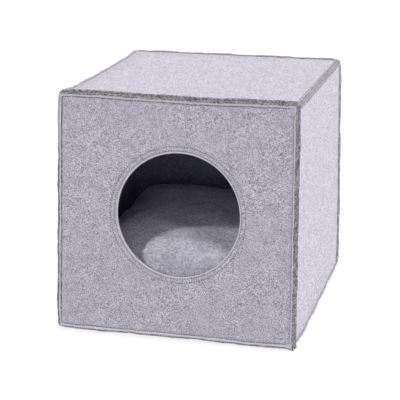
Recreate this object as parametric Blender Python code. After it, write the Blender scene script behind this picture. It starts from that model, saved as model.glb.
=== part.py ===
"""Felt cat cave: a self-standing box of six thick felt panels with a round entry and a loose cushion.

Every panel is one sheet of felt. Along each of the box's twelve edges two panels meet face to face and are
sewn there, and their raw edges stand outward as a double fin. A panel is therefore a shallow tray whose rim
leans out. The floor panel sags from its seams until it lies flat on the ground.

Metres. +Z is up, the entry faces -Y, and the origin is under the middle of the box, on the ground.
"""

import math

import bpy
from mathutils import Vector

# Driving dimensions of the box, measured over the seam fins.
WIDTH = 0.329
DEPTH = 0.375
HEIGHT = 0.330

FELT = 0.005            # thickness of one felt layer
GAP = 0.0003            # air left between two sewn layers, and under the cushion

# Seam fins: how far they reach from the inner corner of the box, and how they lean.
FIN = 0.0047            # edges that run from front to back
FIN_BACK = 0.0050       # edges round the back panel
FIN_FRONT = {"top": 0.0061, "right": 0.0046, "left": 0.0043, "bottom": 0.0043}
FIN_WAVE = 0.0004       # unevenness of the cut
FIN_WAVE_LENGTH = 0.085
FIN_WAVE_PHASE = 1.7    # radians, times a number of its own for each edge
CORNER_REACH = 0.0044   # sideways and upward reach of the tip where three fins are sewn together
CORNER_PINCH = 0.0020   # thickness to which each layer is squeezed there
ENDS = ("front", "back")
END_LEAN = math.radians(30)     # fins round the front and back panels lean this far out of their planes
EVEN_LEAN = math.radians(45)    # all the others halve the corner
# The fin of this edge is pushed over toward its second face, away from its ends.
PUSHED_EDGE = ("top", "right")
PUSHED_LEAN = math.radians(20)
PUSHED_LENGTH = 0.040   # length over which it goes over

# Entry, cut in the front panel.
ENTRY_X = 0.0055
ENTRY_Z = 0.1727
ENTRY_RADIUS = 0.0831
ENTRY_OVAL = 0.0006     # how far it is out of round
ENTRY_OVAL_TURN = math.radians(100)
ENTRY_SIDES = 64
ENTRY_CUTTER = 0.020    # the cutting bar reaches this far to either side of the sheet

# How far each corner of the hand-sewn box stands from true, in millimetres (left/right, front/back, low/high).
CORNER_SHIFT_MM = {
    #  corner             x     y     z
    (-1, -1, +1): (+3.9, +1.3, -0.5),
    (+1, -1, +1): (-1.8, +0.0, +1.4),
    (+1, -1, -1): (+1.0, -1.6, +0.0),
    (-1, -1, -1): (-2.1, +0.2, +0.0),
    (+1, +1, +1): (-2.7, -0.3, +0.1),
    (-1, +1, +1): (-0.7, -0.3, -0.5),
    (+1, +1, -1): (+2.3, +0.7, +0.0),
    (-1, +1, -1): (-1.2, +0.3, +0.0),
}

# How far the middle of an edge bows outward, in millimetres. Edges not listed are straight.
EDGE_BOW_MM = {
    ("front", "left"): 1.0,
    ("front", "top"): -0.5,
    ("top", "left"): -2.2,
    ("right", "back"): 0.4,
}

# How far the middle of each panel stands in from its seams. The floor panel drops onto the ground instead.
PANEL_SAG = {"front": 0.0, "back": 0.002, "left": 0.003, "right": 0.002, "top": 0.003}
FLOOR_SLOPE = 0.030     # width of the strip over which the floor panel drops, at its corners
FLOOR_SLOPE_GROWTH = 1.22   # how much wider that strip gets toward the middle of a side
FLOOR_LEVEL = -0.0012   # it ends below the seam fins, so that the box stands on its flat middle

# Sheet grid: distances of the first lines from a corner, then even cells.
GRID_CORNER = (0.0, 0.005, 0.009, 0.014)
GRID_CELLS = 8

# Cushion.
CUSHION_WIDTH = 0.298
CUSHION_DEPTH = 0.344
CUSHION_CROWN = 0.128   # height of its top above the ground, in the middle
CUSHION_RISE = 0.012    # its top stands this much higher at the back and lower at the entry
CUSHION_SEAM = 0.058    # height of its side line above the ground
CUSHION_DRAW = 0.035    # share by which each side pulls in between the corners
# How full it is toward its sides: higher is flatter on top, with steeper sides.
CUSHION_FULL_BACK = 9.0
CUSHION_FULL_FRONT = 3.5
CUSHION_FULL_SIDES = 9.0
CUSHION_FULL_UNDER = 7.0
CUSHION_DIVISIONS = 22

# Felt and cover colours, linear RGB.
FELT_GREY = (0.46, 0.45, 0.50, 1.0)
CUSHION_GREY = (0.44, 0.43, 0.47, 1.0)
FELT_ROUGHNESS = 0.95

NORMAL = {
    "front": Vector((0, -1, 0)),
    "back": Vector((0, 1, 0)),
    "left": Vector((-1, 0, 0)),
    "right": Vector((1, 0, 0)),
    "top": Vector((0, 0, 1)),
    "bottom": Vector((0, 0, -1)),
}

# Each panel seen from outside: the faces beyond its low and high ends, across and then up.
PANEL_SIDES = {
    "front": (("left", "right"), ("bottom", "top")),
    "back": (("right", "left"), ("bottom", "top")),
    "left": (("back", "front"), ("bottom", "top")),
    "right": (("front", "back"), ("bottom", "top")),
    "top": (("left", "right"), ("front", "back")),
    "bottom": (("left", "right"), ("back", "front")),
}


def clear_scene():
    for item in list(bpy.data.objects):
        bpy.data.objects.remove(item, do_unlink=True)


def felt_material(name, colour):
    material = bpy.data.materials.new(name)
    material.use_nodes = True
    shader = material.node_tree.nodes["Principled BSDF"]
    shader.inputs["Base Color"].default_value = colour
    shader.inputs["Roughness"].default_value = FELT_ROUGHNESS
    shader.inputs["Metallic"].default_value = 0.0
    return material


def mesh_object(name, points, faces, material):
    mesh = bpy.data.meshes.new(name)
    mesh.from_pydata([tuple(p) for p in points], [], faces)
    mesh.materials.append(material)
    mesh.validate()
    item = bpy.data.objects.new(name, mesh)
    bpy.context.collection.objects.link(item)
    return item


def ease(x):
    x = min(max(x, 0.0), 1.0)
    return x * x * (3 - 2 * x)


# ---------------------------------------------------------------- the box's corners, edges and fins


def inner_half_sizes():
    """Half sizes of the space inside the felt, and the heights of its floor and ceiling."""
    reach = (FIN + FELT + GAP / 2) * math.cos(EVEN_LEAN)
    end_skin = (FELT + GAP / 2) * math.cos(END_LEAN)
    return {
        "x": WIDTH / 2 - reach,
        "front": -DEPTH / 2 + FIN_FRONT["top"] * math.sin(END_LEAN) + end_skin,
        "back": DEPTH / 2 - FIN_BACK * math.sin(END_LEAN) - end_skin,
        "floor": reach,
        "ceiling": HEIGHT - reach,
    }


def inner_corner(signs):
    inner = inner_half_sizes()
    sx, sy, sz = signs
    shift = Vector(CORNER_SHIFT_MM[signs]) / 1000
    y = inner["back"] if sy > 0 else inner["front"]
    z = inner["ceiling"] if sz > 0 else inner["floor"]
    return Vector((sx * inner["x"], y, z)) + shift


def signs_of(*faces):
    total = sum((NORMAL[face] for face in faces), Vector())
    return tuple(int(round(c)) for c in total)


def fin_lean(face, other, from_corner):
    """Angle by which a fin leans out of the plane of its first face."""
    if face in ENDS:
        return END_LEAN
    if other in ENDS:
        return math.pi / 2 - END_LEAN
    push = PUSHED_LEAN * ease(from_corner / PUSHED_LENGTH)
    if (face, other) == PUSHED_EDGE:
        return EVEN_LEAN - push
    if (other, face) == PUSHED_EDGE:
        return EVEN_LEAN + push
    return EVEN_LEAN


def fin_direction(face, other, from_corner):
    lean = fin_lean(face, other, from_corner)
    return NORMAL[face] * math.sin(lean) + NORMAL[other] * math.cos(lean)


def fin_length(face, other):
    if "front" in (face, other):
        return FIN_FRONT[other if face == "front" else face]
    return FIN_BACK if "back" in (face, other) else FIN


def edge_phase(face, other):
    """A fixed phase for each edge, so that no two are cut alike."""
    order = list(NORMAL)
    return FIN_WAVE_PHASE * (order.index(face) + 1) * (order.index(other) + 1)


def edge_bow(face, other):
    return EDGE_BOW_MM.get((face, other), EDGE_BOW_MM.get((other, face), 0.0)) / 1000


def corner_tip(signs):
    """From an inner corner of the box to where its three fins end."""
    return Vector((signs[0], signs[1] * math.tan(END_LEAN), signs[2])) * CORNER_REACH


class Bend:
    """One point of the line where a panel bends out into a fin."""

    def __init__(self, face, other, start, end, share):
        low = inner_corner(start)
        high = inner_corner(end)
        length = (high - low).length
        from_corner = min(share, 1 - share) * length
        along = length * (share if start < end else 1 - share)
        wave = FIN_WAVE * math.sin(2 * math.pi * along / FIN_WAVE_LENGTH + edge_phase(face, other))
        self.direction = fin_direction(face, other, from_corner)
        even = fin_direction(face, other, 0.0)
        self.base = low.lerp(high, share) + even * edge_bow(face, other) * math.sin(math.pi * share)
        self.tip = self.base + self.direction * (fin_length(face, other) + wave)

        # The felt turns through this angle, and its skins keep their distance from the seam.
        turn = math.pi / 2 - math.asin(NORMAL[other].dot(self.direction))
        hidden = GAP / 2
        outer = FELT + hidden
        crease_reach = (FELT - outer * math.cos(turn)) / math.sin(turn)
        across = (NORMAL[face] - self.direction * NORMAL[face].dot(self.direction)).normalized()
        self.inner_setback = NORMAL[other] * (hidden / math.sin(turn))
        self.outer_setback = NORMAL[other] * (outer * math.sin(turn) - crease_reach * math.cos(turn))
        self.inner_tip = self.tip + across * hidden
        self.outer_tip = self.tip + across * outer


# ---------------------------------------------------------------- panels


def grid_shares(length):
    """Grid lines along one side, closer together near the corners."""
    last = GRID_CORNER[-1]
    step = (length - 2 * last) / GRID_CELLS
    middle = [last + step * i for i in range(1, GRID_CELLS)]
    lines = list(GRID_CORNER) + middle + [length - d for d in reversed(GRID_CORNER)]
    return [d / length for d in lines]


def panel_drop(face, across, up, width, height):
    """How far the sheet stands off the plane of its seams, along its outward normal."""
    if face != "bottom":
        return -PANEL_SAG[face] * (1 - across ** 2) * (1 - up ** 2)
    to_side = (1 - abs(across)) * width / 2
    to_end = (1 - abs(up)) * height / 2
    along = up if to_side < to_end else across
    slope = FLOOR_SLOPE * (1 + FLOOR_SLOPE_GROWTH * (1 - along ** 2))
    return (inner_half_sizes()["floor"] - FELT - FLOOR_LEVEL) * ease(min(to_side, to_end) / slope)


def panel_sheet(face):
    """Inner and outer skin of one panel with its fins, as points and faces."""
    (low_u, high_u), (low_v, high_v) = PANEL_SIDES[face]
    corner = {(i, j): signs_of(face, (low_u, high_u)[i], (low_v, high_v)[j])
              for i in (0, 1) for j in (0, 1)}
    width = (inner_corner(corner[1, 0]) - inner_corner(corner[0, 0])).length
    height = (inner_corner(corner[0, 1]) - inner_corner(corner[0, 0])).length
    us = grid_shares(width)
    vs = grid_shares(height)
    last_u = len(us) - 1
    last_v = len(vs) - 1

    def bend(side, u, v):
        if side in (low_v, high_v):
            j = int(side == high_v)
            return Bend(face, side, corner[0, j], corner[1, j], u)
        i = int(side == high_u)
        return Bend(face, side, corner[i, 0], corner[i, 1], v)

    def blended(u, v):
        """Surface through the panel's four corner lines."""
        rows = bend(low_v, u, v).base * (1 - v) + bend(high_v, u, v).base * v
        columns = bend(low_u, u, v).base * (1 - u) + bend(high_u, u, v).base * u
        flat = sum((inner_corner(corner[i, j]) * ((u if i else 1 - u) * (v if j else 1 - v))
                    for i in (0, 1) for j in (0, 1)), Vector())
        return rows + columns - flat

    points = []
    faces = []

    def add(point):
        points.append(point)
        return len(points) - 1

    def sides_at(i, j):
        touched = []
        if i in (0, last_u):
            touched.append(low_u if i == 0 else high_u)
        if j in (0, last_v):
            touched.append(low_v if j == 0 else high_v)
        return touched

    inner = {}
    outer = {}
    for i, u in enumerate(us):
        for j, v in enumerate(vs):
            base = blended(u, v)
            base = base + NORMAL[face] * panel_drop(face, 2 * u - 1, 2 * v - 1, width, height)
            inside = base.copy()
            outside = base + NORMAL[face] * FELT
            for side in sides_at(i, j):
                here = bend(side, u, v)
                inside -= here.inner_setback
                outside -= here.outer_setback
            inner[i, j] = add(inside)
            outer[i, j] = add(outside)

    rim = ([(i, 0) for i in range(last_u)] + [(last_u, j) for j in range(last_v)]
           + [(i, last_v) for i in range(last_u, 0, -1)] + [(0, j) for j in range(last_v, 0, -1)])
    inner_tip = []
    outer_tip = []
    for i, j in rim:
        touched = sides_at(i, j)
        if len(touched) == 2:
            tip = points[inner[i, j]] + corner_tip(signs_of(face, *touched))
            inner_tip.append(add(tip))
            outer_tip.append(add(tip + NORMAL[face] * CORNER_PINCH))
            continue
        here = bend(touched[0], us[i], vs[j])
        inner_tip.append(add(here.inner_tip))
        outer_tip.append(add(here.outer_tip))

    for i in range(last_u):
        for j in range(last_v):
            square = ((i, j), (i + 1, j), (i + 1, j + 1), (i, j + 1))
            faces.append([outer[k] for k in square])
            faces.append([inner[k] for k in reversed(square)])
    for k, here in enumerate(rim):
        n = (k + 1) % len(rim)
        there = rim[n]
        faces.append([outer[there], outer[here], outer_tip[k], outer_tip[n]])
        faces.append([outer_tip[n], outer_tip[k], inner_tip[k], inner_tip[n]])
        # Both layers of a seam are split along the same diagonals, so that they stay apart where it twists.
        if sum(points[inner[there]] - points[inner[here]]) > 0:
            faces.append([inner_tip[n], inner_tip[k], inner[there]])
            faces.append([inner_tip[k], inner[here], inner[there]])
        else:
            faces.append([inner_tip[n], inner_tip[k], inner[here]])
            faces.append([inner_tip[n], inner[here], inner[there]])
    return points, faces


def entry_cutter():
    """Closed bar with the entry's outline, longer than the felt is thick."""
    front = inner_half_sizes()["front"]
    points = []
    for y in (front - ENTRY_CUTTER, front + ENTRY_CUTTER):
        for k in range(ENTRY_SIDES):
            turn = 2 * math.pi * k / ENTRY_SIDES
            radius = ENTRY_RADIUS + ENTRY_OVAL * math.cos(2 * (turn - ENTRY_OVAL_TURN))
            points.append((ENTRY_X + radius * math.cos(turn), y, ENTRY_Z + radius * math.sin(turn)))
    near = list(range(ENTRY_SIDES))
    faces = [near, [k + ENTRY_SIDES for k in reversed(near)]]
    for k in near:
        n = (k + 1) % ENTRY_SIDES
        faces.append([n, k, k + ENTRY_SIDES, n + ENTRY_SIDES])
    cutter = mesh_object("entry_cutter", points, faces, felt_material("cutter", FELT_GREY))
    cutter.hide_render = True
    cutter.display_type = "WIRE"
    return cutter


def make_panels():
    felt = felt_material("felt", FELT_GREY)
    panels = {}
    for face in NORMAL:
        points, faces = panel_sheet(face)
        panels[face] = mesh_object("panel_" + face, points, faces, felt)
    cut = panels["front"].modifiers.new("entry", "BOOLEAN")
    cut.operation = "DIFFERENCE"
    cut.solver = "EXACT"
    cut.object = entry_cutter()
    return list(panels.values())


# ---------------------------------------------------------------- cushion


def swell(u, v, full_across, full_along):
    """Share of the full swell at a point of the cushion, 1 in the middle and 0 on its side line."""
    return math.sqrt(max(0.0, (1 - abs(u) ** full_across) * (1 - abs(v) ** full_along)))


def make_cushion():
    n = CUSHION_DIVISIONS
    ground = FLOOR_LEVEL + FELT + GAP
    # Lines crowd toward the rim, where the cover turns over.
    stops = [math.sin(math.pi / 2 * (2 * k / n - 1)) for k in range(n + 1)]
    points = []
    faces = []
    index = {}
    for top in (True, False):
        for i, u in enumerate(stops):
            for j, v in enumerate(stops):
                on_rim = i in (0, n) or j in (0, n)
                if on_rim and not top:
                    index[top, i, j] = index[True, i, j]
                    continue
                x = CUSHION_WIDTH / 2 * u * (1 - CUSHION_DRAW * (1 - v * v) * abs(u))
                y = CUSHION_DEPTH / 2 * v * (1 - CUSHION_DRAW * (1 - u * u) * abs(v))
                if top:
                    full_along = CUSHION_FULL_FRONT if v < 0 else CUSHION_FULL_BACK
                    crown = CUSHION_CROWN + CUSHION_RISE * v
                    z = CUSHION_SEAM + (crown - CUSHION_SEAM) * swell(u, v, CUSHION_FULL_SIDES, full_along)
                else:
                    drop = swell(u, v, CUSHION_FULL_UNDER, CUSHION_FULL_UNDER)
                    z = CUSHION_SEAM - (CUSHION_SEAM - ground) * drop
                index[top, i, j] = len(points)
                points.append((x, y, z))
    for i in range(n):
        for j in range(n):
            square = ((i, j), (i + 1, j), (i + 1, j + 1), (i, j + 1))
            faces.append([index[(True, *k)] for k in square])
            faces.append([index[(False, *k)] for k in reversed(square)])
    cushion = mesh_object("cushion", points, faces, felt_material("cushion_cover", CUSHION_GREY))
    cushion.data.shade_smooth()
    return cushion


def stand_on_origin(items):
    """Slide everything so that the box stands on the ground with the origin under its middle."""
    corners = [item.matrix_world @ vertex.co for item in items for vertex in item.data.vertices]
    low = Vector([min(c[k] for c in corners) for k in range(3)])
    high = Vector([max(c[k] for c in corners) for k in range(3)])
    shift = Vector((-(low.x + high.x) / 2, -(low.y + high.y) / 2, -low.z))
    for item in bpy.data.objects:
        item.location += shift


def main():
    clear_scene()
    panels = make_panels()
    cushion = make_cushion()
    stand_on_origin(panels + [cushion])


main()
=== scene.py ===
"""Felt cat cave, dressed: six thick felt panels sewn edge to edge, topstitched round entry, filled cushion.

Metres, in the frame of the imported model: +Z up, the entry faces -Y. Each panel here is a finer sheet than its
CAD solid: skin, stitched crease, fin and rough cut end. They are laid out from the same seams and sizes.
"""
import math

import bpy
import numpy as np
from mathutils import Matrix, Vector


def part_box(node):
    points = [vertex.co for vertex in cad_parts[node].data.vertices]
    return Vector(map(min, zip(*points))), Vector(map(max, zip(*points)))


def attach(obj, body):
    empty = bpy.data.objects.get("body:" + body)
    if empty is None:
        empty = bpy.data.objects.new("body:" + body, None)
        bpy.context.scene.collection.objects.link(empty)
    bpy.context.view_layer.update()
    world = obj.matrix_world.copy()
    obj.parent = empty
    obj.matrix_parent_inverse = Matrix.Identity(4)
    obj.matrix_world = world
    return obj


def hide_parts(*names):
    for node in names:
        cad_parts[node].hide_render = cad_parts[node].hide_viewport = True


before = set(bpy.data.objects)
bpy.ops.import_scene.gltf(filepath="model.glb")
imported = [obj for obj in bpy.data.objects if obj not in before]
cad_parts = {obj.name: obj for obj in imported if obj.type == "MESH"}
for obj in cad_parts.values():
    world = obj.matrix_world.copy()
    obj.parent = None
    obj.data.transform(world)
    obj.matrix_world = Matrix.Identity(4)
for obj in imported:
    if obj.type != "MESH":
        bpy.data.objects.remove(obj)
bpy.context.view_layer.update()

MM = 0.001

# ---------------------------------------------------------------- the box, as it was cut and sewn
WIDTH, DEPTH, HEIGHT = 0.329, 0.375, 0.330      # over its fins
FELT = 0.005
HIDDEN = 0.00015                # half the air between two sewn layers
OUTER = FELT + HIDDEN           # from the middle of a seam to one layer's outer face
# How far the fins reach from the inner edges of the box.
FIN = 0.0047
FIN_BACK, FIN_BACK_RIGHT = 0.0050, 0.0064
FIN_FRONT = {"top": 0.0061, "right": 0.0046, "left": 0.0041, "bottom": 0.0050}
FIN_WAVE, FIN_WAVE_LENGTH, FIN_WAVE_PHASE = 0.0004, 0.085, 1.7
# How far they lean out of their panel's plane.
ENDS, END_LEAN = ("front", "back"), math.radians(30)
EVEN_LEAN = math.radians(45)
# This fin is pushed over, by the first angle at its front end and the second at its back, and lies further round.
PUSHED_EDGE, PUSHED_LENGTH = ("top", "right"), 0.012
PUSHED_LEAN = (math.radians(27), math.radians(3))
PUSHED_SLIDE, PUSHED_SLIDE_LENGTH = 0.0010, 0.015
ENTRY_X, ENTRY_Z, ENTRY_RADIUS = 0.0053, 0.1720, 0.0832
ENTRY_OVAL, ENTRY_OVAL_TURN = 0.0007, math.radians(63)
CORNER_SHIFT_MM = {             # how far each corner stands from true
    (-1, -1, +1): (+3.9, +1.3, +0.5), (+1, -1, +1): (-0.9, +0.0, +1.0),
    (+1, -1, -1): (+1.0, -1.6, +0.0), (-1, -1, -1): (-2.1, +0.2, +0.0),
    (+1, +1, +1): (-2.7, -0.3, +0.1), (-1, +1, +1): (-0.7, -0.3, -0.5),
    (+1, +1, -1): (+2.3, +0.7, +0.0), (-1, +1, -1): (-1.2, +0.3, +0.0),
}
# How far the middle of a seam bows outward, and how far the seam stands off that bow at the trim shares.
EDGE_BOW_MM = {("front", "left"): 0.5, ("front", "top"): -0.5, ("top", "left"): -2.2, ("right", "back"): 0.4}
TRIM_SHARES = (0.0, 0.125, 0.375, 0.625, 0.875, 1.0)    # nothing at the first and last
EDGE_TRIM_MM = {
    ("front", "top"): (0.8, -0.6, -1.7, -0.1), ("front", "bottom"): (0.3, 0.0, 0.0, 1.4),
    ("front", "left"): (0.4, 0.0, 0.0, 0.5), ("top", "left"): (-1.9, -1.5, -1.2, -1.4),
    ("front", "right"): (0.6, 0.5, 0.5, 0.4),
    ("right", "bottom"): (2.0, 1.8, 1.1, 0.0), ("right", "back"): (1.1, 1.0, 0.3, 0.0),
}
SEAM_WANDER, SEAM_WANDER_START = 0.0004, 0.03   # unevenness of all seam lines, and where it is full
PANEL_SAG = {"front": 0.0, "back": 0.002, "left": 0.003, "right": 0.002, "top": 0.003}
FLOOR_SLOPE, FLOOR_SLOPE_GROWTH, FLOOR_LEVEL = 0.030, 1.22, -0.0012
CUSHION_GAP = 0.0003
LOWEST = 0.0001                 # nothing reaches further down

NORMAL = {
    "front": (0, -1, 0), "back": (0, 1, 0), "left": (-1, 0, 0),
    "right": (1, 0, 0), "top": (0, 0, 1), "bottom": (0, 0, -1),
}
NORMAL = {face: np.array(n, float) for face, n in NORMAL.items()}
PANEL_SIDES = {
    "front": (("left", "right"), ("bottom", "top")), "back": (("right", "left"), ("bottom", "top")),
    "left": (("back", "front"), ("bottom", "top")), "right": (("front", "back"), ("bottom", "top")),
    "top": (("left", "right"), ("front", "back")), "bottom": (("left", "right"), ("back", "front")),
}

# Fine shape of the felt.
CELL = 0.0031                   # spacing of the fine sheets
CREASE_LINES = (0.0, 0.0005, 0.0011, 0.0020, 0.0034, 0.0056)    # sheet lines beside each crease
CREASE_DEPTH = 0.0009           # the stitches pull the felt in this far
CREASE_WIDTH = 0.0013
RAGGED = 0.00022                # unevenness of the cut ends
LAYER_STEP = 0.0004             # how far one layer's cut end may stand past the other's
CORNER_SQUEEZE = 0.68           # share of a layer's thickness left at a sewn corner
CORNER_SQUEEZE_LENGTH = 0.009
# The same along whole seams, where it is not 1.
SEAM_SQUEEZE = {("front", "right"): 0.94, ("top", "right"): 0.71, ("top", "left"): 0.62, ("left", "bottom"): 0.7,
                ("right", "bottom"): 0.7}
CORNER_SHORT = 0.84             # share of the fin's length left at a corner, unless listed below
CORNER_SHORT_LENGTH = 0.006
HIGH, LOW, REAR = (+1, -1, +1), (+1, -1, -1), (+1, +1, +1)     # corners on the right: two in front, the high rear one
CORNER_LENGTHS = {              # (panel, side): {corner at the seam's end: share of the fin's length there}
    ("front", "bottom"): {LOW: 1.6}, ("right", "bottom"): {LOW: 1.65},
    ("front", "right"): {LOW: 1.15, HIGH: 1.1}, ("right", "front"): {LOW: 1.15},
    ("front", "top"): {HIGH: 1.05}, ("top", "front"): {HIGH: 1.0},
    ("top", "right"): {HIGH: 1.1, REAR: 1.1}, ("right", "top"): {HIGH: 1.1, REAR: 1.1},
}
CORNER_THICK = {HIGH: 0.9, LOW: 0.9}    # corners squeezed less than the others
FREE_FIN, FULL_FIN = 0.0009, 0.0030     # least length of fin past its crease, and where its bends have full size
PANEL_WAVE = 0.0005             # slow unevenness of a panel: (turns across, turns up, phase, weight) of its waves
PANEL_WAVES = ((7.1, 4.3, 1.0, 1.0), (3.7, -8.3, 2.2, 1.0), (13.7, 2.9, 3.1, 0.7), (5.3, 16.1, 4.7, 0.6))
PANEL_WAVES_SUM = 3.3

# Painted shade and painted light on the felt, and its flecks, as shares of full strength and widths.
CREASE_SHADE_WIDTH, LEFT_CREASE_SHADE_WIDTH = 0.0009, 0.0014    # painted shade beside a crease, and beside the front's left one
EDGE_SHADED = ("back", "left", "bottom")        # painted shade beside these seams
EDGE_SHADE, EDGE_SHADE_WIDTH = 0.18, 0.014
FRONT_SEAM_LIGHT, FRONT_SEAM_LIGHT_WIDTH = 0.28, 0.012          # painted light beside the front panel's seams
CREASE_LIGHT, FRONT_CREASE_LIGHT, CREASE_LIGHT_WIDTH = 0.12, 0.25, 0.004   # painted light right beside every crease, more on the front panel
RIM_HIGHLIGHT, RIM_WIDTH = 1.15, 0.0017           # painted highlight at the entry's cut edge
RINGS_LIGHT, RINGS_MIDDLE, RINGS_WIDTH = 0.08, 0.006, 0.0022  # painted light between the entry's rings of stitches
FLECKED = {"top": 0.85, "right": 1.1, "left": 0.7}              # these panels show their fibres more
LEFT_PALE, LEFT_PALE_FROM, LEFT_PALE_OVER = 0.75, 0.72, 0.10    # the front's left cut end pales toward its top

# Stitching.
SEAM_STITCH = 0.0034            # from one stitch to the next
SEAM_STITCH_SEEN = 0.0025       # length of thread that shows
SEAM_THREAD, SEAM_THREAD_SINK = 0.00085, 0.0004     # thickness, and how deep its ends go in
SEAM_ENDS_BARE = 0.012          # length of a seam without stitches, both ends together
RING_STITCHES = 168
RING_STITCH_SEEN = 0.0021
RING_THREAD, RING_THREAD_SINK = 0.0008, 0.0005
# Each ring's distance from the entry's cut edge, and what the cosine of the turn adds to it.
RING_OFFSETS = ((0.0032, -0.0008), (0.0087, -0.0009))
RING_DEPTH, RING_WIDTH = 0.0008, 0.0009
RING_SHIFT = 2.1                # by this phase the second ring's stitches are behind the first's

# Front panel's own grid.
ENTRY_COLUMNS = 672
NEAR_ENTRY = (0.00012, 0.0004, 0.0010, 0.0016, 0.0022, 0.0027, 0.0032, 0.0037, 0.0043, 0.0052, 0.0063, 0.0072,
              0.0078, 0.0083, 0.0088, 0.0093, 0.0099, 0.0108, 0.0125)
NEAR_ENTRY_INSIDE = (0.0118, 0.0060, 0.0025, 0.0008, 0.0002)
OUTER_STEPS, INNER_STEPS, INNER_MARGIN = 25, 15, 0.004
EDGE_DROP, EDGE_DROP_WIDTH = 0.00016, 0.0004            # the cut edge is a little rounded, outside
EDGE_LIFT, EDGE_LIFT_WIDTH = 0.0004, 0.0005             # and inside
WALL_DEPTHS, WALL_ROUGH = (0.0010, 0.0020, 0.0030, 0.0040), 0.00012


def ease(x):
    x = np.clip(x, 0.0, 1.0)
    return x * x * (3 - 2 * x)


def waves(x, phase, lengths):
    """Smooth unevenness between about -1 and 1 along x, the same in every run."""
    total = sum(np.sin(2 * math.pi * x / length + phase * (i + 1.3)) for i, length in enumerate(lengths))
    return total / len(lengths)


def inner_half_sizes():
    reach = (FIN + FELT + HIDDEN) * math.cos(EVEN_LEAN)
    end_skin = (FELT + HIDDEN) * math.cos(END_LEAN)
    return {
        "x": WIDTH / 2 - reach,
        "front": -DEPTH / 2 + FIN_FRONT["top"] * math.sin(END_LEAN) + end_skin,
        "back": DEPTH / 2 - FIN_BACK * math.sin(END_LEAN) - end_skin,
        "floor": reach,
        "ceiling": HEIGHT - reach,
    }


INNER = inner_half_sizes()
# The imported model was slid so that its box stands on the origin. The cushion tells by how much.
cushion_low, cushion_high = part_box("cushion")
RECENTRE = np.array([
    (cushion_low.x + cushion_high.x) / 2,
    (cushion_low.y + cushion_high.y) / 2,
    cushion_low.z - (FLOOR_LEVEL + FELT + CUSHION_GAP),
])


def inner_corner(signs):
    sx, sy, sz = signs
    y = INNER["back"] if sy > 0 else INNER["front"]
    z = INNER["ceiling"] if sz > 0 else INNER["floor"]
    return np.array([sx * INNER["x"], y, z]) + np.array(CORNER_SHIFT_MM[signs]) * MM + RECENTRE


def signs_of(*faces):
    return tuple(int(round(c)) for c in sum(NORMAL[f] for f in faces))


def lean_of(face, other, from_corner, run=0.0):
    from_corner = np.asarray(from_corner, float)
    if face in ENDS:
        return np.full(from_corner.shape, END_LEAN)
    if other in ENDS:
        return np.full(from_corner.shape, math.pi / 2 - END_LEAN)
    push = (PUSHED_LEAN[0] + (PUSHED_LEAN[1] - PUSHED_LEAN[0]) * run) * ease(from_corner / PUSHED_LENGTH)
    if (face, other) == PUSHED_EDGE:
        return EVEN_LEAN - push
    if (other, face) == PUSHED_EDGE:
        return EVEN_LEAN + push
    return np.full(from_corner.shape, EVEN_LEAN)


def fin_length(face, other):
    if "front" in (face, other):
        return FIN_FRONT[other if face == "front" else face]
    if "back" in (face, other):
        return FIN_BACK_RIGHT if "right" in (face, other) else FIN_BACK
    return FIN


def edge_phase(face, other):
    order = list(NORMAL)
    return FIN_WAVE_PHASE * (order.index(face) + 1) * (order.index(other) + 1)


def between_knots(x, knots, values):
    """Smooth passage through values at knots."""
    piece = np.clip(np.searchsorted(knots, x, side="right") - 1, 0, len(knots) - 2)
    knots, values = np.array(knots), np.array(values)
    return values[piece] + (values[piece + 1] - values[piece]) * ease(
        (x - knots[piece]) / (knots[piece + 1] - knots[piece]))


def for_seam(table, face, other, usual):
    """A seam's entry in a table, whichever of its panels comes first there."""
    return table.get((face, other), table.get((other, face), usual))


def seam(face, other, share, start, end):
    """The seam between two panels, at the given shares of its length: where it runs, how its fin leans and ends."""
    share = np.asarray(share, float)
    low, high = inner_corner(start), inner_corner(end)
    length = np.linalg.norm(high - low)
    along = length * (share if start < end else 1 - share)
    from_corner = np.minimum(share, 1 - share) * length
    even = lean_of(face, other, 0.0)
    bow = for_seam(EDGE_BOW_MM, face, other, 0.0) * MM
    direction = NORMAL[face] * math.sin(even) + NORMAL[other] * math.cos(even)
    phase = edge_phase(face, other)
    run = along / length
    trim = (0.0, *for_seam(EDGE_TRIM_MM, face, other, (0.0,) * 4), 0.0)
    off = bow * np.sin(math.pi * share) + between_knots(run, TRIM_SHARES, trim) * MM
    off = off + SEAM_WANDER * waves(along, phase, (0.083, 0.047, 0.029)) * ease(from_corner / SEAM_WANDER_START)
    base = low + (high - low) * share[:, None] + direction * off[:, None]
    if {face, other} == set(PUSHED_EDGE):
        toward = (NORMAL[PUSHED_EDGE[1]] - NORMAL[PUSHED_EDGE[0]]) / math.sqrt(2)
        base = base + toward * (PUSHED_SLIDE * ease(from_corner / PUSHED_SLIDE_LENGTH))[:, None]
    reach = fin_length(face, other) + FIN_WAVE * np.sin(2 * math.pi * along / FIN_WAVE_LENGTH + phase)
    reach = reach + RAGGED * waves(along, phase + 0.7, (0.031, 0.0173, 0.0107))

    def at_corner(table, usual):
        return np.where(share < 0.5, table.get(start, usual), table.get(end, usual))

    left = at_corner(CORNER_LENGTHS.get((face, other), {}), CORNER_SHORT)
    reach = reach * (left + (1 - left) * ease(from_corner / CORNER_SHORT_LENGTH))
    usual = for_seam(SEAM_SQUEEZE, face, other, 1.0)
    thick = np.minimum(at_corner(CORNER_THICK, CORNER_SQUEEZE), usual)
    squeeze = thick + (usual - thick) * ease(from_corner / CORNER_SQUEEZE_LENGTH)
    return {
        "base": base, "lean": lean_of(face, other, from_corner, run), "reach": reach, "squeeze": squeeze,
        "along": along, "length": length, "from_corner": from_corner, "phase": phase,
    }


def crease_foot(lean):
    """How far up its fin a panel's crease lies."""
    return (FELT - OUTER * np.cos(lean)) / np.sin(lean)


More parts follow.
